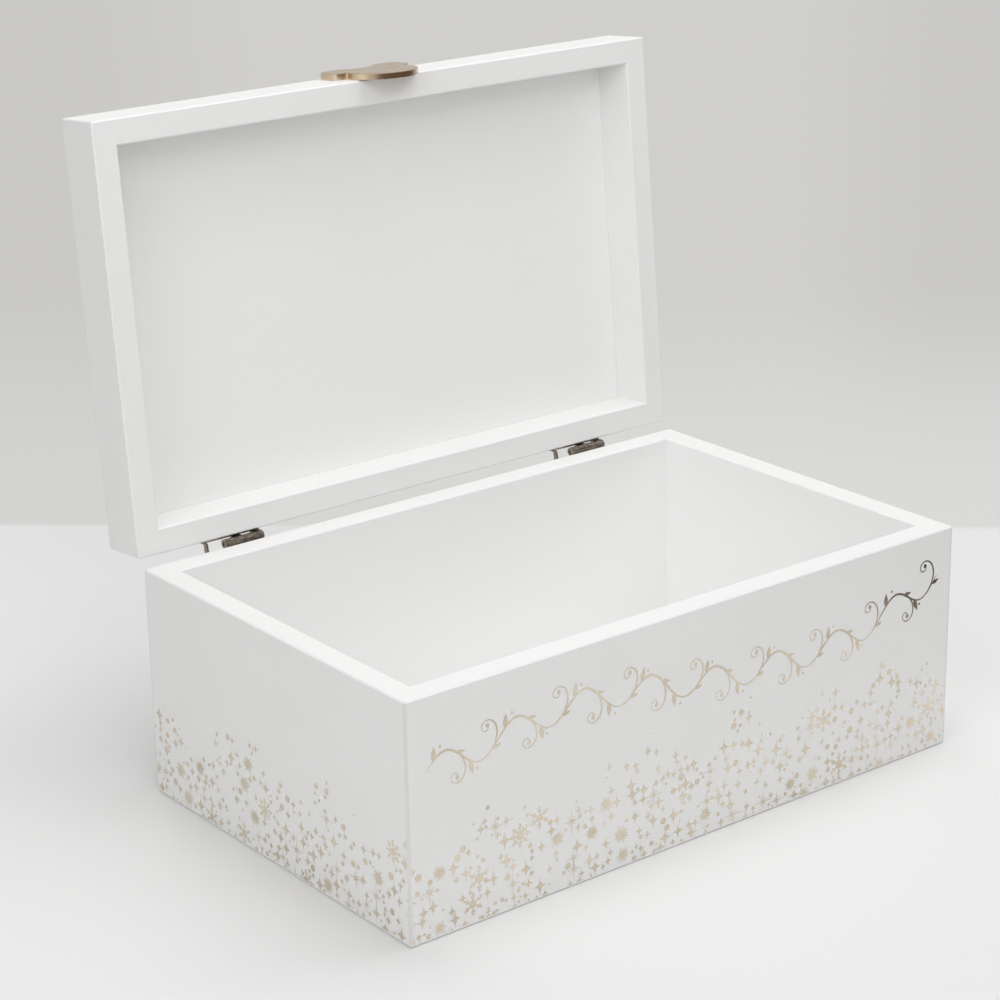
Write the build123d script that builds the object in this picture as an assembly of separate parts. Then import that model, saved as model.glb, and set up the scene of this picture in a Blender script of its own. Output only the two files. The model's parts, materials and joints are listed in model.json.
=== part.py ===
from build123d import *
import math
import os

# Keepsake box: a board box with a framed lid on two stop hinges, and a cast tab on the
# lid's front.  Millimetres, +Z up, front towards -Y, origin at the middle of the base.
# The lid's pieces are drawn shut and then swung open about the hinge line, so the
# model stands at rest with the lid leaning back on its stops.

# --- box and lid ---
LENGTH = 320.0               # outside, left to right
DEPTH = 200.0                # outside, front to back
BODY_HEIGHT = 111.0          # floor to rim
WALL = 12.0                  # body panels and lid rails
BASE_THICKNESS = 6.0
LID_HEIGHT = 26.5            # rim to lid top
LID_PANEL_THICKNESS = 4.5
RIM_GAP = 0.5                # left between the two rims when shut
OUTER_ROUND = 1.0            # upright corners
EDGE_EASE = 0.8              # base edge and lid-top edge, taken off with sandpaper
RIM_EASE = 0.6               # both edges of each rim
OPEN_ANGLE = 95.0            # where the stops hold the lid

# --- hinges ---
LEFT_HINGE_INSET = 56.0      # box end to barrel centre
RIGHT_HINGE_INSET = 54.2
BARREL_LENGTH = 21.6
KNUCKLE_COUNT = 4            # body leaf and lid leaf in turn, from the left
LEAF_THICKNESS = 1.1
LEAF_HEIGHT = 16.0           # plate, square to the hinge line
LEAF_SET_BACK = 2.0          # plate edge, away from the hinge line
LEAF_CORNER = 2.0
JOGGLE = 1.3                 # length of the step that lifts the sheet into its knuckle
SEAM = 0.25                  # where the rolled sheet's end meets its root
KNUCKLE_GAP = 0.3
PIN_RADIUS = 1.05
PIN_CLEARANCE = 0.05
PIN_RECESS = 0.6             # pin end, inside the barrel end
EAR_REACH = 10.2             # lid leaf and body leaf run this far past the barrel
EAR_DROP = 6.0               # stop ear's tip, below the hinge line
EAR_WIDTH = 1.9
EAR_NECK = 0.9               # height of the arm that joins ear and plate
EAR_LEAN = 1.2               # how far its bearing edge stands in front of its root
EAR_ROOT = 4.0               # ear's hold along the end of the plate
STOP_CLEARANCE = 0.1         # ear to body leaf, lid fully open

# --- countersunk screws ---
SCREW_HEAD_RADIUS = 2.1
SCREW_SHANK_RADIUS = 1.0
SCREW_HEAD_DEPTH = LEAF_THICKNESS
SCREW_LENGTH = 9.0
SCREW_CLEARANCE = 0.05       # round the screw, in plate and board alike
LEAF_SCREW_INSET = 6.0       # from either end of the plate

# --- tab on the lid's front ---
TAB_THICKNESS = 3.3
TAB_WIDTH = 44.0             # across both shoulders
TAB_WAIST = 32.0
TAB_SHOULDER = 15.2          # height of the shoulder bar
TAB_END_ROUND = 3.5          # its corners
TAB_TOP_MARGIN = 1.0         # bar to the lid's top
TAB_OVERHANG = 14.0          # round lobe, below the lid's rim
TAB_NOTCH_ROUND = 1.5
TAB_DIP_DEPTH = 6.0          # hollow in the top edge
TAB_DIP_WIDTH = 18.0
TAB_DIP_ROUND = 2.5
TAB_CHAMFER = 0.4            # round its front edge
TAB_RELIEF = 0.3             # lobe's back, clear of the box front

SAME_PLACE = 0.001           # closer than this, two points are one

# --- worked out from the above ---
RIM_LEVEL = BODY_HEIGHT + RIM_GAP
BORE_RADIUS = PIN_RADIUS + PIN_CLEARANCE
BARREL_RADIUS = BORE_RADIUS + LEAF_THICKNESS
AXIS_OFFSET = LEAF_THICKNESS + BARREL_RADIUS
AXIS_Y = DEPTH / 2 + AXIS_OFFSET
AXIS_Z = BODY_HEIGHT + RIM_GAP / 2
HINGE_LINE = Axis((0, AXIS_Y, AXIS_Z), (1, 0, 0))
LEAF_LEFT = -BARREL_LENGTH / 2 - EAR_REACH
LEAF_RIGHT = BARREL_LENGTH / 2
LEAF_SCREW_X = (LEAF_LEFT + LEAF_SCREW_INSET, LEAF_RIGHT - LEAF_SCREW_INSET)
LEAF_SCREW_Z = LEAF_SET_BACK + LEAF_HEIGHT / 2
HINGE_X = {"left": LEFT_HINGE_INSET - LENGTH / 2, "right": LENGTH / 2 - RIGHT_HINGE_INSET}
TAB_SHOULDER_LEVEL = LID_HEIGHT - TAB_TOP_MARGIN - TAB_SHOULDER / 2
TAB_SCREW_X = (TAB_WIDTH - TAB_SHOULDER) / 2


def block(x, y, z):
    """A plain block between the limits given on each axis."""
    return Pos((x[0] + x[1]) / 2, (y[0] + y[1]) / 2, (z[0] + z[1]) / 2) * Box(
        x[1] - x[0], y[1] - y[0], z[1] - z[0]
    )


def swing_open(shape):
    """From the shut place to the open one."""
    return shape.rotate(HINGE_LINE, -OPEN_ANGLE)


def hollow_blank(height, floor):
    """The outside of box or lid, open at the top, before it is parted into boards."""
    blank = Pos(0, 0, height / 2) * Box(LENGTH, DEPTH, height)
    blank = fillet(blank.edges().filter_by(Axis.Z), OUTER_ROUND)
    blank = chamfer(blank.edges().group_by(Axis.Z)[0], EDGE_EASE)
    blank -= block(
        (WALL - LENGTH / 2, LENGTH / 2 - WALL), (WALL - DEPTH / 2, DEPTH / 2 - WALL), (floor, height)
    )
    return chamfer(blank.faces().sort_by(Axis.Z)[-1].edges(), RIM_EASE)


def four_walls(blank, z):
    """Front and back run the full length; the ends fit between them."""
    ends = (WALL - DEPTH / 2, DEPTH / 2 - WALL)
    along = (-LENGTH / 2, LENGTH / 2)
    return {
        "front": blank & block(along, (-DEPTH / 2, ends[0]), z),
        "back": blank & block(along, (ends[1], DEPTH / 2), z),
        "left": blank & block((along[0], along[0] + WALL), ends, z),
        "right": blank & block((along[1] - WALL, along[1]), ends, z),
    }


def countersunk(grown):
    """A flat-headed screw, head up at z = 0, with head, shank and end all larger by grown."""
    head = SCREW_HEAD_RADIUS + grown
    shank = SCREW_SHANK_RADIUS + grown
    end = -SCREW_LENGTH - grown
    outline = Polyline((0, 0), (head, 0), (shank, -SCREW_HEAD_DEPTH), (shank, end), (0, end), close=True)
    return revolve(make_face(Plane.XZ * outline), Axis.Z)


def leaf_screw_places(name, up):
    """Screw heads flush with a leaf's outer face; up is 1 for the lid's, -1 for the body's."""
    face = DEPTH / 2 + LEAF_THICKNESS
    return [
        Pos(HINGE_X[name] + x, face, AXIS_Z + up * LEAF_SCREW_Z) * Rot(-90, 0, 0) for x in LEAF_SCREW_X
    ]


def tab_screw_places():
    """Screw heads flush with the tab's face, one in each shoulder."""
    face = -DEPTH / 2 - TAB_THICKNESS
    level = RIM_LEVEL + TAB_SHOULDER_LEVEL
    return [Pos(x, face, level) * Rot(90, 0, 0) for x in (-TAB_SCREW_X, TAB_SCREW_X)]


def cut_screw_holes(shape, places):
    for place in places:
        shape -= place * countersunk(SCREW_CLEARANCE)
    return shape


def screws(places):
    return Compound(children=[place * countersunk(0) for place in places])


def rolled_edge():
    """Outline of the leaf's rolled edge: the step off the wood, the neck, and the turn round the pin."""
    end = BORE_RADIUS - SEAM
    end_inside = math.sqrt(BORE_RADIUS**2 - end**2)
    end_outside = math.sqrt(BARREL_RADIUS**2 - end**2)
    step_top = BARREL_RADIUS + JOGGLE
    root = Polyline(
        (-BARREL_RADIUS, 0),
        (-BARREL_RADIUS, BARREL_RADIUS),
        (-AXIS_OFFSET, step_top),
        (-BARREL_RADIUS, step_top),
        (-BORE_RADIUS, BARREL_RADIUS),
        (-BORE_RADIUS, 0),
    )
    inside = ThreePointArc(root @ 1, (0, -BORE_RADIUS), (-end, end_inside))
    sheet_end = Line(inside @ 1, (-end, end_outside))
    outside = ThreePointArc(sheet_end @ 1, (0, -BARREL_RADIUS), root @ 0)
    return make_face(Plane.YZ * (root + inside + sheet_end + outside))


def leaf(first_knuckle):
    """A leaf about a hinge line at the origin, plate upwards, with every second knuckle of the barrel."""
    across = (-AXIS_OFFSET, -BARREL_RADIUS)
    plate = block((LEAF_LEFT, LEAF_RIGHT), across, (LEAF_SET_BACK, LEAF_SET_BACK + LEAF_HEIGHT))
    far_corners = plate.edges().filter_by(Axis.Y).group_by(Axis.Z)[-1]
    plate = fillet(far_corners, LEAF_CORNER)
    pitch = BARREL_LENGTH / KNUCKLE_COUNT
    width = pitch - KNUCKLE_GAP
    knuckles = []
    for place in range(first_knuckle, KNUCKLE_COUNT, 2):
        start = place * pitch + (KNUCKLE_GAP - BARREL_LENGTH) / 2
        beside = (start - KNUCKLE_GAP, start + width + KNUCKLE_GAP)
        plate -= block(beside, across, (LEAF_SET_BACK, BARREL_RADIUS + JOGGLE))
        knuckles.append(Pos(start, 0, 0) * extrude(rolled_edge(), width, dir=(1, 0, 0)))
    return plate + knuckles


def stop_ear():
    """The lid leaf's bent end, outlined as it stands with the lid open, then swung shut."""
    bearing = -BARREL_RADIUS + STOP_CLEARANCE
    sheet = BARREL_RADIUS + LEAF_THICKNESS / 2
    outline = Polyline(
        (0, bearing + EAR_LEAN, sheet),
        (0, bearing, -LEAF_SET_BACK),
        (0, bearing, -EAR_DROP),
        (0, bearing + EAR_WIDTH, -EAR_DROP),
        (0, bearing + EAR_LEAN + EAR_WIDTH, sheet - EAR_NECK),
        (0, LEAF_SET_BACK + EAR_ROOT, sheet - EAR_ROOT * math.sin(math.radians(OPEN_ANGLE - 90))),
        close=True,
    )
    ear = Pos(LEAF_LEFT, 0, 0) * extrude(make_face(outline), LEAF_THICKNESS, dir=(1, 0, 0))
    return ear.rotate(Axis.X, OPEN_ANGLE)


def hinge(name):
    """Body leaf, lid leaf, pin and the two pairs of screws of one hinge."""
    to_place = Pos(HINGE_X[name], AXIS_Y, AXIS_Z)
    body_leaf = mirror(leaf(0), Plane.XY)
    lid_leaf = leaf(1) + stop_ear()
    pin = Rot(0, 90, 0) * Cylinder(PIN_RADIUS, BARREL_LENGTH - 2 * PIN_RECESS)
    body_places = leaf_screw_places(name, -1)
    lid_places = leaf_screw_places(name, 1)
    return {
        f"{name}_hinge_body_leaf": cut_screw_holes(to_place * body_leaf, body_places),
        f"{name}_hinge_lid_leaf": swing_open(cut_screw_holes(to_place * lid_leaf, lid_places)),
        f"{name}_hinge_pin": to_place * pin,
        f"{name}_hinge_body_screws": screws(body_places),
        f"{name}_hinge_lid_screws": swing_open(screws(lid_places)),
    }


def corners_at(sketch, x, y):
    """The pair of corners at height y and x either side of the middle."""
    return [
        corner
        for corner in sketch.vertices()
        if math.isclose(abs(corner.X), x, abs_tol=SAME_PLACE)
        and math.isclose(corner.Y, y, abs_tol=SAME_PLACE)
    ]


def tab():
    """A plate with two shoulders, a hollow between them and a round lobe below the rim to lift by."""
    lobe_level = TAB_WAIST / 2 - TAB_OVERHANG
    dip_radius = (TAB_DIP_WIDTH**2 / 4 + TAB_DIP_DEPTH**2) / (2 * TAB_DIP_DEPTH)
    top = TAB_SHOULDER_LEVEL + TAB_SHOULDER / 2
    outline = Pos(0, TAB_SHOULDER_LEVEL) * RectangleRounded(TAB_WIDTH, TAB_SHOULDER, TAB_END_ROUND)
    outline += Pos(0, (lobe_level + TAB_SHOULDER_LEVEL) / 2) * Rectangle(
        TAB_WAIST, TAB_SHOULDER_LEVEL - lobe_level
    )
    outline += Pos(0, lobe_level) * Circle(TAB_WAIST / 2)
    notches = corners_at(outline, TAB_WAIST / 2, TAB_SHOULDER_LEVEL - TAB_SHOULDER / 2)
    outline = fillet(notches, TAB_NOTCH_ROUND)
    outline -= Pos(0, top - TAB_DIP_DEPTH + dip_radius) * Circle(dip_radius)
    outline = fillet(corners_at(outline, TAB_DIP_WIDTH / 2, top), TAB_DIP_ROUND)
    front = Plane(origin=(0, -DEPTH / 2, RIM_LEVEL), x_dir=(1, 0, 0), z_dir=(0, -1, 0))
    plate = extrude(front * outline, TAB_THICKNESS)
    plate = chamfer(plate.faces().sort_by(Axis.Y)[0].edges(), TAB_CHAMFER)
    plate -= block(
        (-TAB_WAIST / 2, TAB_WAIST / 2),
        (-DEPTH / 2 - TAB_RELIEF, -DEPTH / 2),
        (RIM_LEVEL - TAB_OVERHANG, RIM_LEVEL),
    )
    return cut_screw_holes(plate, tab_screw_places())


def body():
    """The box: four walls round a base board."""
    walls = four_walls(hollow_blank(BODY_HEIGHT, 0), (0, BODY_HEIGHT))
    for name in HINGE_X:
        walls["back"] = cut_screw_holes(walls["back"], leaf_screw_places(name, -1))
    parts = {f"{side}_panel": wall for side, wall in walls.items()}
    parts["base_panel"] = block(
        (WALL - LENGTH / 2, LENGTH / 2 - WALL), (WALL - DEPTH / 2, DEPTH / 2 - WALL), (0, BASE_THICKNESS)
    )
    return parts


def lid():
    """The lid: a top board on four rails, drawn shut and swung open."""
    upside_down = hollow_blank(LID_HEIGHT, LID_PANEL_THICKNESS)
    blank = Pos(0, 0, RIM_LEVEL + LID_HEIGHT) * Rot(180, 0, 0) * upside_down
    panel_level = RIM_LEVEL + LID_HEIGHT - LID_PANEL_THICKNESS
    rails = four_walls(blank, (RIM_LEVEL, panel_level))
    for name in HINGE_X:
        rails["back"] = cut_screw_holes(rails["back"], leaf_screw_places(name, 1))
    rails["front"] = cut_screw_holes(rails["front"], tab_screw_places())
    shut = {f"lid_{side}_rail": rail for side, rail in rails.items()}
    shut["lid_top_panel"] = blank & block(
        (-LENGTH / 2, LENGTH / 2), (-DEPTH / 2, DEPTH / 2), (panel_level, RIM_LEVEL + LID_HEIGHT)
    )
    shut["lid_tab"] = tab()
    shut["lid_tab_screws"] = screws(tab_screw_places())
    return {name: swing_open(piece) for name, piece in shut.items()}


def keepsake_box():
    return body() | lid() | hinge("left") | hinge("right")


os.makedirs("parts", exist_ok=True)
for node, shape in keepsake_box().items():
    export_step(shape, f"parts/{node}.step")
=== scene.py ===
import json
import math
import random

import bmesh
import bpy
from mathutils import Matrix, Vector


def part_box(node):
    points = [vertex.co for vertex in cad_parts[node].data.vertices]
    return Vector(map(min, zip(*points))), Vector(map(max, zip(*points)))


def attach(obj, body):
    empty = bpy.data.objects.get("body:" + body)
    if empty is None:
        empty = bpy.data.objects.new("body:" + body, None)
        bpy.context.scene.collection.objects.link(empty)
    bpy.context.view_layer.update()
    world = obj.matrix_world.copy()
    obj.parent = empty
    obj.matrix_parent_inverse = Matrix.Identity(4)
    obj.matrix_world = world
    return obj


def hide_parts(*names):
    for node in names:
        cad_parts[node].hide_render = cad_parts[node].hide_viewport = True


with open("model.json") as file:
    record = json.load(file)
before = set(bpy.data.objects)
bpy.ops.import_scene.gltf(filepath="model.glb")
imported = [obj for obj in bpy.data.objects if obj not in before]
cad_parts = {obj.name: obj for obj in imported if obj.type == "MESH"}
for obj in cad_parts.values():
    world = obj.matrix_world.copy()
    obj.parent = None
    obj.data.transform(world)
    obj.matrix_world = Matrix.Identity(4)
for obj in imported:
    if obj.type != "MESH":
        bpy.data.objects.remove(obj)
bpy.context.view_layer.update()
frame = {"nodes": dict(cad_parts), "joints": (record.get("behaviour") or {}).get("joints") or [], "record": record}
nodes = frame["nodes"]
mm = 0.001
print("keepsake box:", len(nodes), "pieces from the frame")

# the box's own sizes, read off the frame
boxLow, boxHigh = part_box("front_panel")
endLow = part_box("left_panel")[0]
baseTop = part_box("base_panel")[1][2]
boxLength = boxHigh[0] - boxLow[0]
boxDepth = 2 * abs(boxLow[1])
wall = boxHigh[1] - boxLow[1]

# the hinge line, and how far the lid turns from shut to open
pivot = Vector(frame["joints"][0]["pos_m"])
lidSwing = math.radians(frame["joints"][0]["range_deg"][1])


def turnedToOpen(shift):
    # the lid's parts are laid out shut, then swung open with the lid
    swing = Matrix.Rotation(-lidSwing, 4, "X")
    return Matrix.Translation(pivot) @ swing @ Matrix.Translation(-pivot) @ shift


def shutBox(node):
    # a lid piece's corners as they'd be with the lid shut
    back = turnedToOpen(Matrix.Identity(4)).inverted()
    points = [back @ vertex.co for vertex in nodes[node].data.vertices]
    low = Vector([min(p[k] for p in points) for k in range(3)])
    high = Vector([max(p[k] for p in points) for k in range(3)])
    return low, high


camera = {
    "place": (-0.7410, -0.9102, 0.5435),
    "turn": 37.94,      # degrees from +Y towards +X
    "tilt": 19.21,      # degrees down
    "roll": -0.98,
    "lens": 97.3,
    "farthest": 50,
}


def makeCamera():
    turn, tilt, roll = (math.radians(camera[k]) for k in ("turn", "tilt", "roll"))
    ahead = Vector((math.sin(turn) * math.cos(tilt), math.cos(turn) * math.cos(tilt), -math.sin(tilt)))
    right = Vector((math.cos(turn), -math.sin(turn), 0))
    up = right.cross(ahead)
    across = right * math.cos(roll) + up * math.sin(roll)
    upright = up * math.cos(roll) - right * math.sin(roll)
    facing = Matrix((across, upright, -ahead)).transposed().to_4x4()
    data = bpy.data.cameras.new("camera")
    data.lens = camera["lens"]
    data.clip_end = camera["farthest"]
    holder = bpy.data.objects.new("camera", data)
    holder.matrix_world = Matrix.Translation(camera["place"]) @ facing
    bpy.context.collection.objects.link(holder)
    bpy.context.scene.camera = holder


makeCamera()
print("camera set")


def plug(tree, socket, value):
    # the value is a number, a colour or the output of another node
    if isinstance(value, bpy.types.NodeSocket):
        tree.links.new(value, socket)
    else:
        socket.default_value = value


def calculate(tree, operation, *values, clamp=False):
    node = tree.nodes.new("ShaderNodeMath")
    node.operation = operation
    node.use_clamp = clamp
    for socket, value in zip(node.inputs, values):
        plug(tree, socket, value)
    return node.outputs[0]


def along(tree, place, direction):
    node = tree.nodes.new("ShaderNodeVectorMath")
    node.operation = "DOT_PRODUCT"
    plug(tree, node.inputs[0], place)
    plug(tree, node.inputs[1], direction)
    return node.outputs["Value"]


def stretch(tree, value, low, high, toLow=0, toHigh=1, kind="LINEAR"):
    node = tree.nodes.new("ShaderNodeMapRange")
    node.interpolation_type = kind
    for label, number in (("From Min", low), ("From Max", high), ("To Min", toLow), ("To Max", toHigh)):
        node.inputs[label].default_value = number
    tree.links.new(value, node.inputs["Value"])
    return node.outputs["Result"]


def ramp(tree, value, low, high):
    return stretch(tree, value, low, high, kind="SMOOTHSTEP")


def blendTones(tree, factor, first, second):
    node = tree.nodes.new("ShaderNodeMix")
    node.data_type = "RGBA"
    plug(tree, node.inputs["Factor"], factor)
    plug(tree, node.inputs[6], first)
    plug(tree, node.inputs[7], second)
    return node.outputs[2]


def ownPlace(tree):
    return tree.nodes.new("ShaderNodeTexCoord").outputs["Object"]


def splitPlace(tree, place):
    parts = tree.nodes.new("ShaderNodeSeparateXYZ")
    tree.links.new(place, parts.inputs["Vector"])
    return parts.outputs


def within(tree, place, limits, blur):
    # 1 where |X|, |Y| and Z stay under their limits; None is no limit
    parts = splitPlace(tree, place)
    inside = 1
    for axis, limit in zip("XYZ", limits):
        if limit is None:
            continue
        outwards = parts[axis] if axis == "Z" else calculate(tree, "ABSOLUTE", parts[axis])
        inside = calculate(tree, "MULTIPLY", inside, ramp(tree, outwards, limit, limit - blur))
    return inside


def cloud(tree, place, size, detail, roughness=0.5):
    # soft noise with lumps of about that size
    noise = tree.nodes.new("ShaderNodeTexNoise")
    noise.inputs["Detail"].default_value = detail
    noise.inputs["Roughness"].default_value = roughness
    plug(tree, noise.inputs["Vector"], place)
    plug(tree, noise.inputs["Scale"], calculate(tree, "DIVIDE", 1, size))
    return noise.outputs["Fac"]


def contrasted(tree, value, contrast):
    # drawn apart about one half, and kept between 0 and 1
    offCentre = calculate(tree, "SUBTRACT", value, 0.5)
    return calculate(tree, "MULTIPLY_ADD", offCentre, contrast, 0.5, clamp=True)


def newGroup(name, inputs, outputs):
    tree = bpy.data.node_groups.new(name, "ShaderNodeTree")
    for label, value in inputs.items():
        kind = "NodeSocketColor" if isinstance(value, tuple) else "NodeSocketFloat"
        socket = tree.interface.new_socket(name=label, in_out="INPUT", socket_type=kind)
        socket.default_value = value
    for label, kind in outputs.items():
        tree.interface.new_socket(name=label, in_out="OUTPUT", socket_type=kind)
    return tree, tree.nodes.new("NodeGroupInput").outputs, tree.nodes.new("NodeGroupOutput").inputs


def makeToneDrift():
    # two near colours in slow patches
    tree, given, made = newGroup(
        "toneDrift",
        {
            "First Colour": (0.8, 0.8, 0.8, 1),
            "Second Colour": (0.7, 0.7, 0.7, 1),
            "Patch Size": 0.03,
            "Contrast": 1.0,
        },
        {"Colour": "NodeSocketColor", "Patches": "NodeSocketFloat"},
    )
    noise = cloud(tree, ownPlace(tree), given["Patch Size"], 4, 0.55)
    patches = contrasted(tree, noise, given["Contrast"])
    colour = blendTones(tree, patches, given["First Colour"], given["Second Colour"])
    plug(tree, made["Colour"], colour)
    plug(tree, made["Patches"], patches)
    return tree


def makeFineGrain():
    # a height for the bump: soft lumps with fine pits between them
    tree, given, made = newGroup(
        "fineGrain",
        {"Lump Size": 0.004, "Pit Size": 0.0006, "Pit Share": 0.3},
        {"Height": "NodeSocketFloat"},
    )
    place = ownPlace(tree)
    blend = tree.nodes.new("ShaderNodeMix")
    plug(tree, blend.inputs["Factor"], given["Pit Share"])
    plug(tree, blend.inputs[2], cloud(tree, place, given["Lump Size"], 3))
    plug(tree, blend.inputs[3], cloud(tree, place, given["Pit Size"], 3))
    plug(tree, made["Height"], blend.outputs[0])
    return tree


def makeEdgeRub():
    # 1 along edges, broken up where fingers have not rubbed
    tree, given, made = newGroup(
        "edgeRub",
        {"Reach": 0.0006, "Break Size": 0.002, "Strength": 1.0},
        {"Rubbed": "NodeSocketFloat"},
    )
    softened = tree.nodes.new("ShaderNodeBevel")
    softened.samples = 4
    plug(tree, softened.inputs["Radius"], given["Reach"])
    flat = tree.nodes.new("ShaderNodeNewGeometry")
    facing = along(tree, flat.outputs["Normal"], softened.outputs["Normal"])
    edge = stretch(tree, facing, 0.995, 0.85)
    broken = stretch(tree, cloud(tree, ownPlace(tree), given["Break Size"], 5), 0.38, 0.58)
    both = calculate(tree, "MULTIPLY", edge, broken)
    plug(tree, made["Rubbed"], calculate(tree, "MULTIPLY", both, given["Strength"], clamp=True))
    return tree


def makeDrawnLines():
    # streaks, long where their size is large
    tree, given, made = newGroup(
        "drawnLines",
        {"Size X": 0.006, "Size Y": 0.0004, "Size Z": 0.0004, "Contrast": 2.5},
        {"Streaks": "NodeSocketFloat"},
    )
    parts = splitPlace(tree, ownPlace(tree))
    joined = tree.nodes.new("ShaderNodeCombineXYZ")
    for axis in "XYZ":
        plug(tree, joined.inputs[axis], calculate(tree, "DIVIDE", parts[axis], given["Size " + axis]))
    noise = cloud(tree, joined.outputs["Vector"], 1, 3)
    plug(tree, made["Streaks"], contrasted(tree, noise, given["Contrast"]))
    return tree


toneDrift = makeToneDrift()
fineGrain = makeFineGrain()
edgeRub = makeEdgeRub()
drawnLines = makeDrawnLines()
print("shared effects built")


def newFinish(name):
    finish = bpy.data.materials.new(name)
    finish.use_nodes = True
    return finish, finish.node_tree, finish.node_tree.nodes["Principled BSDF"]


def placeGroup(tree, group, values):
    node = tree.nodes.new("ShaderNodeGroup")
    node.node_tree = group
    for label, value in values.items():
        node.inputs[label].default_value = value
    return node.outputs


def dress(tree, shader, piece, colour, patches, metallic):
    # the sheen drifts with the same patches as the colour
    plug(tree, shader.inputs["Base Color"], colour)
    plug(tree, shader.inputs["Roughness"], stretch(tree, patches, 0, 1, *piece["roughness"]))
    shader.inputs["Metallic"].default_value = metallic


def addBump(tree, shader, height, strength, depth, under=None):
    # under is the relief that this one lies on
    bump = tree.nodes.new("ShaderNodeBump")
    bump.inputs["Strength"].default_value = strength
    bump.inputs["Distance"].default_value = depth
    plug(tree, bump.inputs["Height"], height)
    if under:
        plug(tree, bump.inputs["Normal"], under)
    plug(tree, shader.inputs["Normal"], bump.outputs["Normal"])
    return bump.outputs["Normal"]


whitePaint = {
    "tone": {
        "First Colour": (0.897, 0.897, 0.894, 1),
        "Second Colour": (0.885, 0.885, 0.881, 1),
        "Patch Size": 0.045,
        "Contrast": 2.5,
    },
    "grain": {"Lump Size": 0.0045, "Pit Size": 0.0007},
    "relief": (0.06, 0.0002),       # strength and depth
    "roughness": (0.42, 0.50),
    "paintedBounceLight": (0.946, 0.946, 0.944, 1),  # painted light: the hollows of box and lid painted whiter, standing in for the light bounced round inside them
    "base": (0.845, 0.845, 0.841, 1),       # painted shade: the box's inner floor toned down so it doesn't glare under the top lamps
    "corner": (0.74, 0.73, 0.715, 1),       # painted shade: a darker grey line along the box's upright corners
    "cornerShadeReach": 0.0012,
    "blur": 0.0004,         # between one tone and the next
}


def paintedBounceLight(tree, place):
    # 1 in the hollow of the box and on the inside of the lid's panel, where the bounce light is painted in
    blur = whitePaint["blur"]
    halfX, halfY = boxLength / 2 - wall, boxDepth / 2 - wall
    lidTop = shutBox("lid_top_panel")[0].z + blur
    shut = tree.nodes.new("ShaderNodeVectorRotate")
    shut.rotation_type = "X_AXIS"
    shut.inputs["Center"].default_value = pivot
    shut.inputs["Angle"].default_value = lidSwing
    tree.links.new(place, shut.inputs["Vector"])
    inBox = within(tree, place, (halfX + blur, halfY + blur, boxHigh[2]), blur)
    inLid = within(tree, shut.outputs["Vector"], (halfX - blur, halfY - blur, lidTop), blur)
    return calculate(tree, "MAXIMUM", inBox, inLid)


def onShadedBase(tree, place):
    # 1 on the box's inner floor, where its painted shade goes
    blur = whitePaint["blur"]
    halfX, halfY = boxLength / 2 - wall, boxDepth / 2 - wall
    return within(tree, place, (halfX + blur, halfY + blur, baseTop + blur), blur)


def onShadedCorner(tree, place):
    # 1 where the box's face along X and its face along Y are both close: the band where the corner's shade is
    # painted
    blur, reach = whitePaint["blur"], whitePaint["cornerShadeReach"]
    sides = within(tree, place, (boxLength / 2 - reach / 3, None, None), reach)
    ends = within(tree, place, (None, boxDepth / 2 - reach / 3, None), reach)
    upTo = within(tree, place, (None, None, boxHigh[2] + blur), blur)
    either = calculate(tree, "MAXIMUM", sides, ends)
    return calculate(tree, "MULTIPLY", upTo, calculate(tree, "SUBTRACT", 1, either))


def makeWhitePaint():
    finish, tree, shader = newFinish("whitePaint")
    place = ownPlace(tree)
    tone = placeGroup(tree, toneDrift, whitePaint["tone"])
    grain = placeGroup(tree, fineGrain, whitePaint["grain"])
    # painted light in the hollows, painted shade on the inner floor and along the upright corners
    coat = blendTones(tree, paintedBounceLight(tree, place), tone["Colour"], whitePaint["paintedBounceLight"])
    coat = blendTones(tree, onShadedBase(tree, place), coat, whitePaint["base"])
    coat = blendTones(tree, onShadedCorner(tree, place), coat, whitePaint["corner"])
    dress(tree, shader, whitePaint, coat, tone["Patches"], 0)
    addBump(tree, shader, grain["Height"], *whitePaint["relief"])
    return finish


agedBronze = {
    "tone": {
        "First Colour": (0.150, 0.127, 0.106, 1),
        "Second Colour": (0.315, 0.262, 0.215, 1),
        "Patch Size": 0.0025,
        "Contrast": 3.0,
    },
    "lines": {"Size X": 0.007, "Size Y": 0.0004, "Size Z": 0.0004, "Contrast": 3.0},
    "streak": (0.66, 0.605, 0.54, 1),
    "streakFrom": 0.5,      # fainter lines than this don't show
    "streakMost": 0.85,
    "rub": {"Reach": 0.0005, "Break Size": 0.0018, "Strength": 0.8},
    "rubbed": (0.62, 0.56, 0.49, 1),
    "grain": {"Lump Size": 0.0012, "Pit Size": 0.0003, "Pit Share": 0.5},
    "relief": (0.25, 0.0001),
    "roughness": (0.26, 0.44),
}


def makeAgedBronze():
    finish, tree, shader = newFinish("agedBronze")
    tone = placeGroup(tree, toneDrift, agedBronze["tone"])
    lines = placeGroup(tree, drawnLines, agedBronze["lines"])
    rub = placeGroup(tree, edgeRub, agedBronze["rub"])
    grain = placeGroup(tree, fineGrain, agedBronze["grain"])
    streaks = stretch(tree, lines["Streaks"], agedBronze["streakFrom"], 1, 0, agedBronze["streakMost"])
    coat = blendTones(tree, streaks, tone["Colour"], agedBronze["streak"])
    coat = blendTones(tree, rub["Rubbed"], coat, agedBronze["rubbed"])
    dress(tree, shader, agedBronze, coat, tone["Patches"], 1)
    addBump(tree, shader, grain["Height"], *agedBronze["relief"])
    return finish


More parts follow.
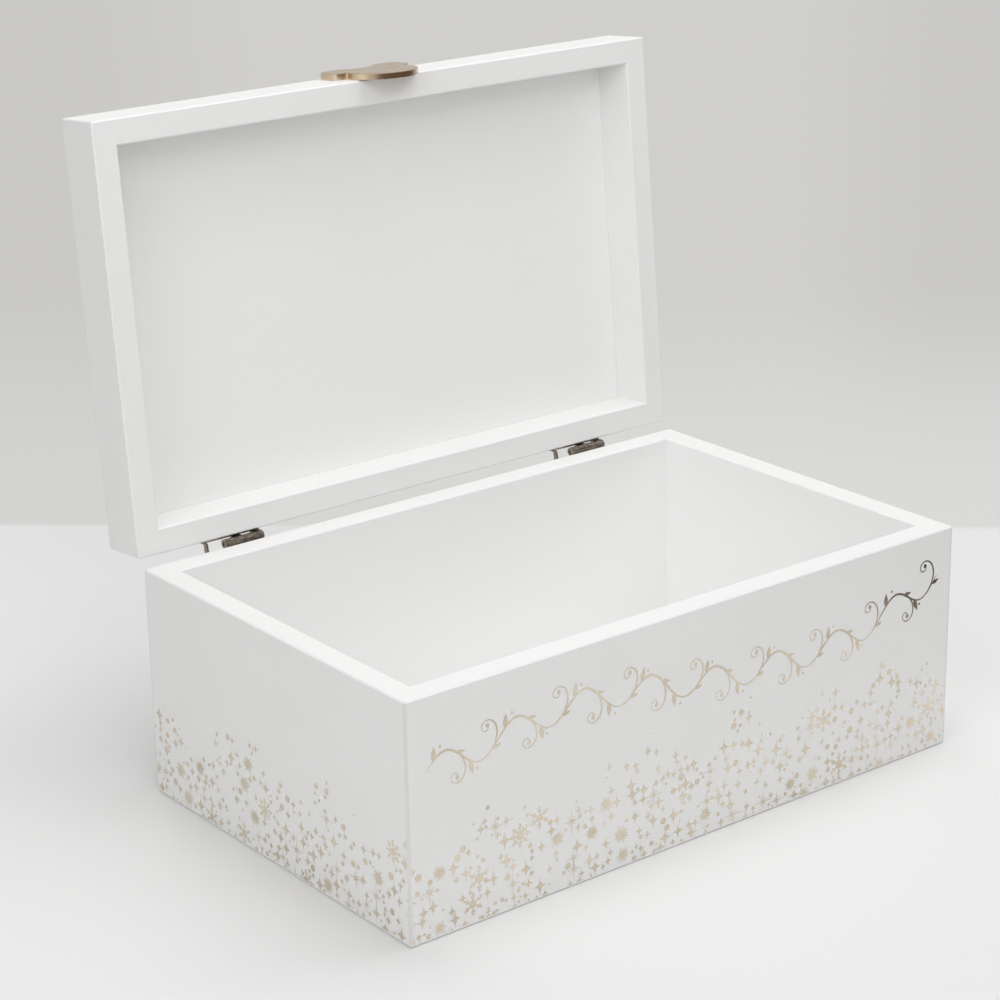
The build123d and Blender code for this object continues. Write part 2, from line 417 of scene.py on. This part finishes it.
castGold = {
    "tone": {
        "First Colour": (0.80, 0.66, 0.495, 1),
        "Second Colour": (0.68, 0.525, 0.365, 1),
        "Patch Size": 0.007,
        "Contrast": 1.7,
    },
    "rub": {"Reach": 0.0006, "Break Size": 0.003, "Strength": 0.7},
    "rubbed": (0.86, 0.75, 0.60, 1),
    "grain": {"Lump Size": 0.0022, "Pit Size": 0.0004, "Pit Share": 0.35},
    "relief": (0.14, 0.00012),
    "fileMarks": {"Size X": 0.0011, "Size Y": 0.0011, "Size Z": 0.012, "Contrast": 2.5},
    "fileRelief": (0.09, 0.00008),
    "roughness": (0.22, 0.32),
}


def makeCastGold():
    finish, tree, shader = newFinish("castGold")
    tone = placeGroup(tree, toneDrift, castGold["tone"])
    rub = placeGroup(tree, edgeRub, castGold["rub"])
    grain = placeGroup(tree, fineGrain, castGold["grain"])
    fileMarks = placeGroup(tree, drawnLines, castGold["fileMarks"])
    coat = blendTones(tree, rub["Rubbed"], tone["Colour"], castGold["rubbed"])
    dress(tree, shader, castGold, coat, tone["Patches"], 1)
    cast = addBump(tree, shader, grain["Height"], *castGold["relief"])
    addBump(tree, shader, fileMarks["Streaks"], *castGold["fileRelief"], cast)
    return finish


goldFoil = {
    "tone": {
        "First Colour": (0.82, 0.735, 0.61, 1),
        "Second Colour": (0.62, 0.54, 0.425, 1),
        "Patch Size": 0.016,
        "Contrast": 2.2,
    },
    "grain": {"Lump Size": 0.0035, "Pit Size": 0.0007, "Pit Share": 0.3},
    "relief": (0.2, 0.00012),
    "roughness": (0.15, 0.25),
}


def makeGoldFoil():
    finish, tree, shader = newFinish("goldFoil")
    tone = placeGroup(tree, toneDrift, goldFoil["tone"])
    grain = placeGroup(tree, fineGrain, goldFoil["grain"])
    dress(tree, shader, goldFoil, tone["Colour"], tone["Patches"], 1)
    addBump(tree, shader, grain["Height"], *goldFoil["relief"])
    return finish


finishes = {
    "board": makeWhitePaint(),
    "bronze": makeAgedBronze(),
    "gold": makeCastGold(),
    "foil": makeGoldFoil(),
}
slotOf = {part["node"]: part["material_slot"] for part in frame["record"]["subparts"]}
for name, piece in nodes.items():
    piece.data.materials.clear()
    piece.data.materials.append(finishes[slotOf[name]])
print("finishes made:", ", ".join(finishes))


layerStep = 0.002       # mm between foil shapes that may cross
foilShapes = {
    # all at half width 1
    "dotSides": 14,
    "sparkleHollow": 4.5,   # how far its sides bend in
    "sparkleWidth": 0.84,
    "sparkleSteps": 6,      # points along one side
    "rayShort": 0.46,
    "rayWaist": 0.115,
    "raySpread": (0.7, 1),  # the rays across, against those upright
    "burstRays": (12, 14, 16),
    "burstRoot": 0.42,
    "burstShort": 0.80,
    "flakeArms": (6, 8),
    "flakeFrill": (0.50, 0.30, 0.40, 0.30),
    # stem and two barbs of one upright arm: from, to, half width
    "flakeStrokes": (
        (0, 0.30, 0, 0.85, 0.065),
        (0, 0.50, -0.20, 0.70, 0.055),
        (0, 0.50, 0.20, 0.70, 0.055),
    ),
    "beadAt": 0.88,
    "beadRadius": 0.12,
    "beadSides": 8,
}


def fan(outline):
    # points, then faces, about the shape's own middle
    count = len(outline)
    return [(0, 0)] + outline, [(0, i, i % count + 1) for i in range(1, count + 1)]


def around(count, reach):
    turn = 2 * math.pi / count
    return [(reach(i) * math.sin(i * turn), reach(i) * math.cos(i * turn)) for i in range(count)]


def turned(x, y, angle):
    return x * math.cos(angle) + y * math.sin(angle), y * math.cos(angle) - x * math.sin(angle)


def bent(value, power):
    return math.copysign(abs(value) ** power, value)


def dot(picker=None):
    return fan(around(foilShapes["dotSides"], lambda i: 1))


def sparkle(picker):
    # four points with hollow sides, a little taller than wide
    hollow, steps = foilShapes["sparkleHollow"], foilShapes["sparkleSteps"]
    angles = [math.pi / 2 * i / steps for i in range(4 * steps)]
    return fan([
        (bent(math.sin(angle), hollow) * foilShapes["sparkleWidth"], bent(math.cos(angle), hollow))
        for angle in angles
    ])


def rayStar(picker):
    # eight thin rays: long upright, shorter across, short between
    short, waist = foilShapes["rayShort"], foilShapes["rayWaist"]
    lengths = (1, short, picker.uniform(*foilShapes["raySpread"]), short)
    return fan(around(16, lambda i: waist if i % 2 else lengths[i // 2 % 4]))


def burst(picker):
    # a solid middle fringed with fine rays, long and short in turn
    rays = picker.choice(foilShapes["burstRays"])
    root, short = foilShapes["burstRoot"], foilShapes["burstShort"]
    return fan(around(2 * rays, lambda i: root if i % 2 else (1 if i % 4 else short)))


def bar(x1, y1, x2, y2, halfWidth):
    # a straight stroke with square ends
    length = math.hypot(x2 - x1, y2 - y1)
    a, b = (y2 - y1) / length * halfWidth, (x1 - x2) / length * halfWidth
    return [(x1 + a, y1 + b), (x2 + a, y2 + b), (x2 - a, y2 - b), (x1 - a, y1 - b)], [(0, 1, 2, 3)]


def flake(picker):
    # a snow star: barbed arms with a bead at each tip, round a frilled middle
    arms = picker.choice(foilShapes["flakeArms"])
    frill, lines = foilShapes["flakeFrill"], foilShapes["flakeStrokes"]
    strokes = [(0, *fan(around(4 * arms, lambda i: frill[i % 4])))]
    for k in range(arms):
        angle = 2 * math.pi * k / arms
        for lift, (x1, y1, x2, y2, halfWidth) in enumerate(lines):
            strokes.append((lift + 1, *bar(*turned(x1, y1, angle), *turned(x2, y2, angle), halfWidth)))
        bead, faces = fan(around(foilShapes["beadSides"], lambda i: foilShapes["beadRadius"]))
        x, y = turned(0, foilShapes["beadAt"], angle)
        strokes.append((len(lines) + 1, [(x + a, y + b) for a, b in bead], faces))
    # every stroke lies a little above the last, within the flake's own layer
    rise = layerStep / (len(lines) + 2)
    return joinShapes([(outline, cells, lift * rise) for lift, outline, cells in strokes])


def joinShapes(shapes):
    # shapes: points, faces and height; a point may have a height of its own
    points, faces = [], []
    for outline, cells, height in shapes:
        start = len(points)
        points += [(x, y, height + sum(lift)) for x, y, *lift in outline]
        faces += [tuple(start + c for c in cell) for cell in cells]
    return points, faces


foilPattern = {
    "proud": 0.03,          # mm off the paint
    "bottom": 1.4,          # mm left bare along the panel's lower edge
    "side": 1.4,            # and along its upright edges
    "gap": 0.22,
    "tries": 45,            # for each shape still to be placed
    # shape, how many in 100 mm, smallest and largest half width, elbow room,
    # share of the drift it climbs, how strongly it gathers low down
    "mix": (
        (flake, 2.6, 5.1, 6.2, 0.84, 1.00, 1.0),
        (burst, 4.4, 4.1, 5.1, 0.84, 0.95, 1.1),
        (rayStar, 6.0, 5.0, 7.4, 0.38, 0.98, 1.1),
        (sparkle, 18.0, 4.1, 5.4, 0.43, 1.06, 1.1),
        (dot, 14.0, 1.15, 1.8, 1.00, 1.08, 1.3),
        (sparkle, 42.0, 2.6, 3.8, 0.46, 1.12, 1.4),
        (dot, 38.0, 0.7, 1.15, 1.00, 1.14, 1.9),
        (dot, 14.0, 0.4, 0.6, 1.00, 1.25, 1.8),
    ),
    "floor": 32,            # height that every stretch reaches
    "driftWidth": 11,
}
# drifts: place along the panel and height above the even stretch
foilPanels = {
    "front": {
        "start": (0, boxLow[1], 0),
        "across": Vector((1, 0, 0)),
        "outward": Vector((0, -1, 0)),
        "width": boxLength / mm,
        "seed": 5,
        "drifts": (
            (-118, 16), (-96, 9), (-48, 15), (-31, 22), (-12, 11), (27, 23), (80, 13), (115, 19), (146, 9),
        ),
    },
    "left": {
        "start": (endLow[0], 0, 0),
        "across": Vector((0, -1, 0)),
        "outward": Vector((-1, 0, 0)),
        "width": boxDepth / mm,
        "seed": 9,
        "drifts": ((-90, 8), (-37, 20), (-17, 18), (2, 11), (39, 20), (60, 7), (94, 13)),
    },
}


def driftTop(u, drifts):
    width = foilPattern["driftWidth"]
    return foilPattern["floor"] + max(h * math.exp(-(((u - at) / width) ** 2)) for at, h in drifts)


def scatter(width, drifts, seed):
    # the large shapes go down first and the small ones fill in between
    picker = random.Random(seed)
    laid = []
    for layer, row in enumerate(foilPattern["mix"]):
        shape, perHundred, smallest, largest, elbow, climb, gather = row
        left = round(perHundred * width / 100)
        for attempt in range(left * foilPattern["tries"]):
            size = picker.uniform(smallest, largest)
            u = picker.uniform(-width / 2, width / 2)
            v = driftTop(u, drifts) * climb * picker.random() ** gather
            room = size * elbow + foilPattern["gap"]
            if all(math.hypot(u - a, v - b) > room + other for a, b, other, *rest in laid):
                laid.append((u, v, size * elbow, size, shape(picker), layer))
                left -= 1
            if left == 0:
                break
    return laid


def layOnPanel(shapes, panel, name):
    # from the flat drawing in mm onto a panel of the box, cut off along the bottom and both sides
    mesh = bpy.data.meshes.new(name)
    points, faces = joinShapes(shapes)
    mesh.from_pydata(points, [], faces)
    shape = bmesh.new()
    shape.from_mesh(mesh)
    halfWidth = panel["width"] / 2 - foilPattern["side"]
    cuts = (
        ((0, foilPattern["bottom"], 0), (0, -1, 0)),
        ((halfWidth, 0, 0), (1, 0, 0)),
        ((-halfWidth, 0, 0), (-1, 0, 0)),
    )
    for where, away in cuts:
        bmesh.ops.bisect_plane(
            shape, geom=shape.verts[:] + shape.edges[:] + shape.faces[:], plane_co=where, plane_no=away,
            clear_outer=True,
        )
    bmesh.ops.recalc_face_normals(shape, faces=shape.faces[:])
    for face in shape.faces:
        if face.normal.z < 0:
            face.normal_flip()
    shape.to_mesh(mesh)
    shape.free()
    across, upright, outward = panel["across"], Vector((0, 0, 1)), panel["outward"]
    placing = Matrix((across * mm, upright * mm, outward * mm)).transposed().to_4x4()
    placing.translation = Vector(panel["start"]) + outward * foilPattern["proud"] * mm
    mesh.transform(placing)
    mesh.materials.append(finishes["foil"])
    sheet = bpy.data.objects.new(name, mesh)
    bpy.context.collection.objects.link(sheet)
    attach(sheet, "box")


def drawPattern(name, panel):
    shapes = []
    for u, v, room, size, drawing, layer in scatter(panel["width"], panel["drifts"], panel["seed"]):
        points, faces = drawing
        moved = [(u + size * x, v + size * y, *lift) for x, y, *lift in points]
        shapes.append((moved, faces, layer * layerStep))
    layOnPanel(shapes, panel, name)
    print(name + ":", len(shapes), "foil shapes")


for side, panel in foilPanels.items():
    drawPattern(side + "_foil_pattern", panel)


# a running scroll above the stars: a waving stem, curls inside each wave, leaves and berries
scroll = {
    "ends": (-150, 150),
    # height of the middle line along the front
    "path": (
        (-152, 77), (-115, 81), (-80, 85), (-42, 83), (0, 76), (42, 72), (85, 72), (120, 79), (152, 90),
    ),
    "wave": 37.5,           # length of one full wave
    "swing": 6.0,           # half its height
    "stroke": (0.54, 0.24),     # half width of the stem and of a curl's tip
    "stemStep": 0.8,
    "stemThinnest": 0.45,   # share of the stem's width, on the way between two crests
    "thinnestAt": 0.6,
    "taper": (0.25, 9),     # share of the width at the stem's ends, and how soon it is full
    "curlFrom": 0.12,       # past the crest, in half waves
    "curlLength": 33,
    "curlStep": 0.35,
    "curlWidest": 13,       # radius where it leaves the stem
    "curlTightest": 1.25,   # radius at its tip
    "curlHurry": 3.2,       # how late it winds up
    "curlRoot": 0.75,       # share of the stem's width
    "leaf": (6.4, 1.15),    # length and half width
    "leafTip": 0.06,
    "leafSteps": 8,
    "leafFullest": 0.8,     # under 1 brings its widest place nearer the stem
    "leafAhead": 0.4,       # the stretch of stem that it takes its direction from
    # on each half wave: place from the crest in half waves, lean off the stem, size
    "leaves": ((-0.30, 0.75, 1.0), (0.34, 0.55, 0.72)),
    "berry": 1.0,
    "smallBerry": 0.62,
    "smallBerryAt": (-0.10, 2.6),   # from the crest: along in half waves, up or down in mm
}


def pathHeight(u):
    # a smooth line through the named heights
    path = scroll["path"]
    i = max(k for k in range(len(path) - 1) if u >= path[k][0] or k == 0)
    (x0, y0), (x1, y1) = path[i], path[i + 1]
    before = path[max(i - 1, 0)]
    after = path[min(i + 2, len(path) - 1)]
    slope0 = (y1 - before[1]) / (x1 - before[0])
    slope1 = (after[1] - y0) / (after[0] - x0)
    run = x1 - x0
    t = (u - x0) / run
    return (
        (2 * t**3 - 3 * t**2 + 1) * y0 + (t**3 - 2 * t**2 + t) * run * slope0
        + (3 * t**2 - 2 * t**3) * y1 + (t**3 - t**2) * run * slope1
    )


def stemPoint(u):
    phase = 2 * math.pi * (u - scroll["ends"][0]) / scroll["wave"]
    return u, pathHeight(u) + scroll["swing"] * math.sin(phase)


def stemHeading(u, step):
    x, y = stemPoint(u)
    x2, y2 = stemPoint(u + step)
    return math.atan2(y2 - y, x2 - x)


def stemHalfWidth(u):
    first, last = scroll["ends"]
    thinnest = scroll["stemThinnest"]
    share, run = scroll["taper"]
    swell = abs(math.sin(math.pi * (u - first) / scroll["wave"] + scroll["thinnestAt"]))
    ends = min(1, share + (u - first) / run, share + (last - u) / run)
    return (thinnest + (1 - thinnest) * swell) * scroll["stroke"][0] * ends


def ribbon(line, halfWidths):
    # a stroke along a line, with its own half width at each point
    points, faces = [], []
    for k, (x, y) in enumerate(line):
        ahead = line[min(k + 1, len(line) - 1)]
        behind = line[max(k - 1, 0)]
        dx, dy = ahead[0] - behind[0], ahead[1] - behind[1]
        length = math.hypot(dx, dy)
        nx, ny = -dy / length * halfWidths[k], dx / length * halfWidths[k]
        points += [(x + nx, y + ny), (x - nx, y - ny)]
    for k in range(len(line) - 1):
        faces.append((2 * k, 2 * k + 1, 2 * k + 3, 2 * k + 2))
    return points, faces


def curl(u, side):
    # leaves the stem along its own direction and winds up ever tighter
    step = scroll["curlStep"]
    wide, thin = scroll["stroke"]
    root = scroll["curlRoot"]
    steps = int(scroll["curlLength"] / step)
    slowest, fastest = 1 / scroll["curlWidest"], 1 / scroll["curlTightest"]
    x, y = stemPoint(u)
    heading = stemHeading(u, step)
    line = [(x, y)]
    for k in range(steps):
        bend = slowest + (fastest - slowest) * (k / steps) ** scroll["curlHurry"]
        heading -= side * bend * step
        x += math.cos(heading) * step
        y += math.sin(heading) * step
        line.append((x, y))
    shares = [k / steps for k in range(steps + 1)]
    widths = [wide * (root + (1 - root) * math.sin(math.pi * s)) * (1 - s) + thin * s for s in shares]
    return line, widths


def leaf(x, y, angle, scale):
    length, half = (scale * size for size in scroll["leaf"])
    shares = [k / scroll["leafSteps"] for k in range(scroll["leafSteps"] + 1)]
    line = [(x + math.cos(angle) * length * s, y + math.sin(angle) * length * s) for s in shares]
    widths = [scroll["leafTip"] + half * math.sin(math.pi * s ** scroll["leafFullest"]) for s in shares]
    return ribbon(line, widths)


def berry(x, y, size):
    points, faces = dot()
    return [(x + size * a, y + size * b) for a, b in points], faces


def drawScroll():
    first, last = scroll["ends"]
    count = int((last - first) / scroll["stemStep"])
    places = [first + (last - first) * k / count for k in range(count + 1)]
    stem = ribbon([stemPoint(u) for u in places], [stemHalfWidth(u) for u in places])
    shapes = [(*stem, 0)]
    half = scroll["wave"] / 2
    for k in range(int((last - first) / half)):
        side = 1 if k % 2 == 0 else -1
        crest = first + half * (k + 0.5)
        line, widths = curl(crest + half * scroll["curlFrom"], side)
        shapes.append((*ribbon(line, widths), layerStep))
        shapes.append((*berry(*line[-1], scroll["berry"]), 2 * layerStep))
        for offset, lean, scale in scroll["leaves"]:
            u = crest + offset * half
            angle = stemHeading(u, scroll["leafAhead"]) + side * lean
            shapes.append((*leaf(*stemPoint(u), angle, scale), 3 * layerStep))
        x, y = stemPoint(crest)
        back, up = scroll["smallBerryAt"]
        small = berry(x + half * back, y + side * up, scroll["berry"] * scroll["smallBerry"])
        shapes.append((*small, 2 * layerStep))
    layOnPanel(shapes, foilPanels["front"], "front_foil_scroll")
    print("scroll drawn:", len(shapes), "strokes, leaves and berries")


drawScroll()


screw = {
    "headRadius": 2.1,      # mm, as the seats in the plates
    "headDepth": 1.1,
    "edge": 0.10,           # the head's rounded rim
    "shankRadius": 0.95,
    "threadDepth": 0.32,
    "threadPitch": 0.9,
    "threadRoot": (0.15, 0.7),      # where the groove runs deepest, in pitches
    "tip": 0.2,             # length of the last flank, in pitches
    "recess": (2.6, 0.60, 0.85),    # a cross: length, width and depth
    "recessMouth": (1.06, 0.1),     # how much wider the cutter is above the head, and how high
    "recessBottom": 0.66,           # how much narrower at the bottom
    "segments": 40,
    "mostTurn": 1.57,       # a quarter turn, after which a cross looks the same
}


def lathe(profile, segments):
    # profile runs (radius, height) from the axis back to the axis
    mesh = bmesh.new()
    rings = []
    angles = [2 * math.pi * k / segments for k in range(segments)]
    for radius, height in profile:
        spots = [(radius * math.cos(a), radius * math.sin(a), height) for a in angles]
        if radius == 0:
            spots = [(0, 0, height)]
        rings.append([mesh.verts.new(spot) for spot in spots])
    for low, high in zip(rings, rings[1:]):
        for k in range(segments):
            corners = []
            for ring, place in ((low, k), (low, k + 1), (high, k + 1), (high, k)):
                corner = ring[place % len(ring)]
                if corner not in corners:
                    corners.append(corner)
            mesh.faces.new(corners)
    bmesh.ops.recalc_face_normals(mesh, faces=mesh.faces)
    return mesh


def crossCutter(length, width, depth):
    # a plus sign whose wings close in towards the bottom
    reach, half = length / 2, width / 2
    outline = []
    for turn in range(4):
        c, s = math.cos(turn * math.pi / 2), math.sin(turn * math.pi / 2)
        wing = ((reach, -half), (reach, half), (half, half))
        outline += [(x * c - y * s, x * s + y * c) for x, y in wing]
    wider, above = screw["recessMouth"]
    narrower = screw["recessBottom"]
    mesh = bmesh.new()
    top = [mesh.verts.new((x * wider, y * wider, above)) for x, y in outline]
    bottom = [mesh.verts.new((x * narrower, y * narrower, -depth)) for x, y in outline]
    mesh.faces.new(top)
    mesh.faces.new(bottom)
    count = len(outline)
    for k in range(count):
        mesh.faces.new((top[k], top[(k + 1) % count], bottom[(k + 1) % count], bottom[k]))
    bmesh.ops.recalc_face_normals(mesh, faces=mesh.faces)
    return mesh


def putDown(mesh, name):
    data = bpy.data.meshes.new(name)
    mesh.to_mesh(data)
    mesh.free()
    holder = bpy.data.objects.new(name, data)
    bpy.context.collection.objects.link(holder)
    return holder


def cutAway(target, cutter):
    cut = target.modifiers.new("cut", "BOOLEAN")
    cut.operation = "DIFFERENCE"
    cut.solver = "EXACT"
    cut.object = cutter
    bpy.context.view_layer.update()
    seen = target.evaluated_get(bpy.context.evaluated_depsgraph_get())
    result = bpy.data.meshes.new_from_object(seen)
    bpy.data.objects.remove(cutter)
    bpy.data.objects.remove(target)
    return result


def makeScrewMesh(length):
    # head up, its face at zero; the shank carries a ridged thread
    head, depth, edge = screw["headRadius"], screw["headDepth"], screw["edge"]
    shank, pitch = screw["shankRadius"], screw["threadPitch"]
    root = shank - screw["threadDepth"]
    rootFrom, rootTo = screw["threadRoot"]
    bend = 0.3 * edge       # middle of the rounded rim, in from either face
    profile = [(0, 0), (head - edge, 0), (head - bend, -bend), (head, -edge)]
    level = -depth - pitch
    profile += [(shank, -depth), (shank, level)]
    while level - pitch > -length + pitch:
        profile += [(root, level - rootFrom * pitch), (root, level - rootTo * pitch)]
        level -= pitch
        profile.append((shank, level))
    profile += [(root, level - screw["tip"] * pitch), (0, -length)]
    body = putDown(lathe(profile, screw["segments"]), "screwBody")
    return cutAway(body, putDown(crossCutter(*screw["recess"]), "screwCross"))


def drawScrews():
    # each pair's body, how its box is found, and which way along Y it faces with the lid shut
    pairs = {
        "left_hinge_body_screws": ("box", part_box, 1),
        "right_hinge_body_screws": ("box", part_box, 1),
        "left_hinge_lid_screws": ("lid", shutBox, 1),
        "right_hinge_lid_screws": ("lid", shutBox, 1),
        "lid_tab_screws": ("lid", shutBox, -1),
    }
    chance = random.Random(3)
    for node, (body, corners, outward) in pairs.items():
        low, high = corners(node)
        face = high.y if outward > 0 else low.y
        level = (low.z + high.z) / 2
        reach = (high.z - low.z) / 2
        mesh = makeScrewMesh((high.y - low.y) / mm)
        whole = bmesh.new()
        for x in (low.x + reach, high.x - reach):
            # driven in from the face, each stopped at a turn of its own
            lean = Matrix.Rotation(-outward * math.pi / 2, 4, "X")
            stopped = Matrix.Rotation(chance.uniform(0, screw["mostTurn"]), 4, "Z")
            seat = Matrix.Translation((x, face, level)) @ lean @ stopped @ Matrix.Scale(mm, 4)
            one = mesh.copy()
            one.transform(turnedToOpen(seat) if body == "lid" else seat)
            whole.from_mesh(one)
            bpy.data.meshes.remove(one)
        pair = putDown(whole, node + "_detailed")
        pair.data.materials.append(finishes[slotOf[node]])
        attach(pair, body)
        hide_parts(node)
    print("screws cut:", 2 * len(pairs))


drawScrews()


studio = {
    "floorSize": 12.0,
    "floorLevel": -0.00005,
    "roughness": 0.45,
    "shine": 0.25,
    # painted light: the table's tone graded from its near side to its back edge, following how the light falls
    # across it
    "tableNear": (0.830, 0.830, 0.830, 1),
    "tableFar": (0.866, 0.866, 0.866, 1),
    "tableBlend": (-0.25, 0.30),
    # the table's back edge: its direction on the floor and its distance from the box's middle
    "edgeAlong": (0.7505, -0.6609, 0),
    "edgeAt": 0.3373,
    "edgeBlur": 0.005,
    # the wall behind, a painted glow with its light and shade graded: low down at either end and higher up
    "wallLeft": (0.655, 0.655, 0.640, 1),
    "wallRight": (0.705, 0.703, 0.690, 1),
    "wallFar": (0.591, 0.584, 0.571, 1),
    "wallBand": (0.632, 0.625, 0.611, 1),
    "wallRise": 0.60,
    # where these tones meet, left to right as the camera sees the wall
    "lowBlend": (-0.24, 0.05),
    "bandStart": (-0.22, -0.14),
    "bandEnd": (0.115, 0.045),
    "fade": (0.75, 1.9),    # how far out the table melts into the air
    # past its right-hand and near edges the table ends in a dark room
    "darkFrom": (0.235, 0.285),
    "nearFurther": 0.17,    # the near edge lies this much further out
    "darkAhead": (-0.05, -0.15),
    "darkTone": (0.115, 0.083, 0.062, 1),
}
air = {
    "light": 0.20,
    "seen": 0.62,
    "tone": (1, 0.99, 0.97, 1),
    # low down in front lies the dark room
    "room": (0.20, 0.145, 0.108, 1),
    "roomAhead": (-0.15, -0.45),
    "roomLow": (0.50, 0.25),
}


def seenRays(tree):
    # 1 for rays that see the surroundings, 0 for those that gather light
    ray = tree.nodes.new("ShaderNodeLightPath").outputs
    total = calculate(tree, "MAXIMUM", ray["Is Camera Ray"], ray["Is Glossy Ray"])
    return calculate(tree, "MAXIMUM", total, ray["Is Transmission Ray"])


def mirroredRays(tree):
    return tree.nodes.new("ShaderNodeLightPath").outputs["Is Glossy Ray"]


def glowing(tree, tone):
    node = tree.nodes.new("ShaderNodeEmission")
    plug(tree, node.inputs["Color"], tone)
    return node.outputs["Emission"]


def blendShaders(tree, factor, first, second):
    node = tree.nodes.new("ShaderNodeMixShader")
    plug(tree, node.inputs["Fac"], factor)
    plug(tree, node.inputs[1], first)
    plug(tree, node.inputs[2], second)
    return node.outputs["Shader"]


# the wall's light and shade painted as a glow on the floor past the table's edge
def wallGlow(tree, place, side, away):
    depth = along(tree, place, away)
    # how far to the right a spot looks from the camera
    eye = Vector(camera["place"])
    sideways = calculate(tree, "SUBTRACT", along(tree, place, side), eye.dot(side))
    forwards = calculate(tree, "SUBTRACT", depth, eye.dot(away))
    look = calculate(tree, "DIVIDE", sideways, forwards)
    bandStart, bandEnd = (ramp(tree, look, *studio[k]) for k in ("bandStart", "bandEnd"))
    band = calculate(tree, "MULTIPLY", bandStart, bandEnd)
    high = blendTones(tree, band, studio["wallFar"], studio["wallBand"])
    low = blendTones(tree, ramp(tree, look, *studio["lowBlend"]), studio["wallLeft"], studio["wallRight"])
    climb = ramp(tree, depth, studio["edgeAt"], studio["edgeAt"] + studio["wallRise"])
    return glowing(tree, blendTones(tree, climb, low, high))


def beyondFade(tree, place):
    distance = tree.nodes.new("ShaderNodeVectorMath")
    distance.operation = "LENGTH"
    plug(tree, distance.inputs[0], place)
    far = ramp(tree, distance.outputs["Value"], *studio["fade"])
    return calculate(tree, "MULTIPLY", far, seenRays(tree))


def inDarkRoom(tree, place):
    # only what is mirrored shows it
    parts = splitPlace(tree, place)
    nearer = calculate(tree, "SUBTRACT", -studio["nearFurther"], parts["Y"])
    reach = calculate(tree, "MAXIMUM", parts["X"], nearer)
    past = ramp(tree, reach, *studio["darkFrom"])
    inFront = ramp(tree, parts["Y"], *studio["darkAhead"])
    return calculate(tree, "MULTIPLY", calculate(tree, "MULTIPLY", past, inFront), mirroredRays(tree))


def makeTableAndWall(side, away):
    finish, tree, shader = newFinish("tableAndWall")
    shader.inputs["Roughness"].default_value = studio["roughness"]
    shader.inputs["Specular IOR Level"].default_value = studio["shine"]
    place = ownPlace(tree)
    depth = along(tree, place, away)
    # painted light: the table darker near, lighter far
    nearToFar = ramp(tree, depth, *studio["tableBlend"])
    table = blendTones(tree, nearToFar, studio["tableNear"], studio["tableFar"])
    plug(tree, shader.inputs["Base Color"], table)
    haze = glowing(tree, (*(air["seen"] * c for c in air["tone"][:3]), 1))
    floor = blendShaders(tree, beyondFade(tree, place), shader.outputs["BSDF"], haze)
    edge, blur = studio["edgeAt"], studio["edgeBlur"]
    behind = calculate(tree, "MULTIPLY", ramp(tree, depth, edge - blur, edge + blur), seenRays(tree))
    seen = blendShaders(tree, behind, floor, wallGlow(tree, place, side, away))
    whole = blendShaders(tree, inDarkRoom(tree, place), seen, glowing(tree, studio["darkTone"]))
    plug(tree, tree.nodes["Material Output"].inputs["Surface"], whole)
    return finish


def makeStage():
    side = Vector(studio["edgeAlong"])
    away = Vector((-side.y, side.x, 0))
    half = studio["floorSize"] / 2
    corners = [away * a * half + side * b * half for a, b in ((-1, -1), (-1, 1), (1, 1), (1, -1))]
    mesh = bpy.data.meshes.new("floor")
    mesh.from_pydata([(c.x, c.y, studio["floorLevel"]) for c in corners], [], [(0, 1, 2, 3)])
    mesh.materials.append(makeTableAndWall(side, away))
    floor = bpy.data.objects.new("floor", mesh)
    bpy.context.collection.objects.link(floor)


# power in watts; only a mirrored lamp shows in the metals
lampAim = (0, 0, 0.1)
lamps = {
    "topCentre": {"at": (0.0, -0.02, 1.5), "size": 0.7, "power": 4.05, "mirrored": False},
    "topFront": {"at": (0.2, -0.9, 1.6), "size": 1.4, "power": 3.6, "mirrored": False},
    "topRight": {"at": (0.9, -0.1, 1.5), "size": 1.3, "power": 7.8, "mirrored": False},
    "topBack": {"at": (0.2, 0.9, 1.6), "size": 1.3, "power": 3.1, "mirrored": False},
    "backLow": {"at": (0.3, 1.9, 0.45), "size": 1.1, "power": 5.5, "mirrored": False},
    "leftFront": {"at": (-1.7, -0.6, 0.9), "size": 1.2, "power": 4.3, "mirrored": True},
    "leftHighFront": {"at": (-1.4, -0.5, 1.4), "size": 1.2, "power": 5.6, "mirrored": False},
    "fromCamera": {"at": (-0.8, -1.5, 1.3), "size": 1.2, "power": 9.2, "mirrored": False},
}


def makeLamps():
    for name, lamp in lamps.items():
        data = bpy.data.lights.new(name, "AREA")
        data.shape = "DISK"
        data.size = lamp["size"]
        data.energy = lamp["power"]
        holder = bpy.data.objects.new(name, data)
        holder.location = lamp["at"]
        aim = Vector(lampAim) - Vector(lamp["at"])
        holder.rotation_euler = aim.to_track_quat("-Z", "Y").to_euler()
        holder.visible_glossy = lamp["mirrored"]
        holder.visible_camera = False
        bpy.context.collection.objects.link(holder)


def makeAir():
    world = bpy.data.worlds.new("studioAir")
    world.use_nodes = True
    tree = world.node_tree
    sky = tree.nodes["Background"]
    direction = splitPlace(tree, tree.nodes.new("ShaderNodeTexCoord").outputs["Generated"])
    ahead = ramp(tree, direction["Y"], *air["roomAhead"])
    low = ramp(tree, direction["Z"], *air["roomLow"])
    room = calculate(tree, "MULTIPLY", calculate(tree, "MULTIPLY", ahead, low), mirroredRays(tree))
    plug(tree, sky.inputs["Color"], blendTones(tree, room, air["tone"], air["room"]))
    plug(tree, sky.inputs["Strength"], stretch(tree, seenRays(tree), 0, 1, air["light"], air["seen"]))
    bpy.context.scene.world = world


makeStage()
makeLamps()
makeAir()
bpy.context.scene.view_settings.view_transform = "Standard"
print("studio ready")
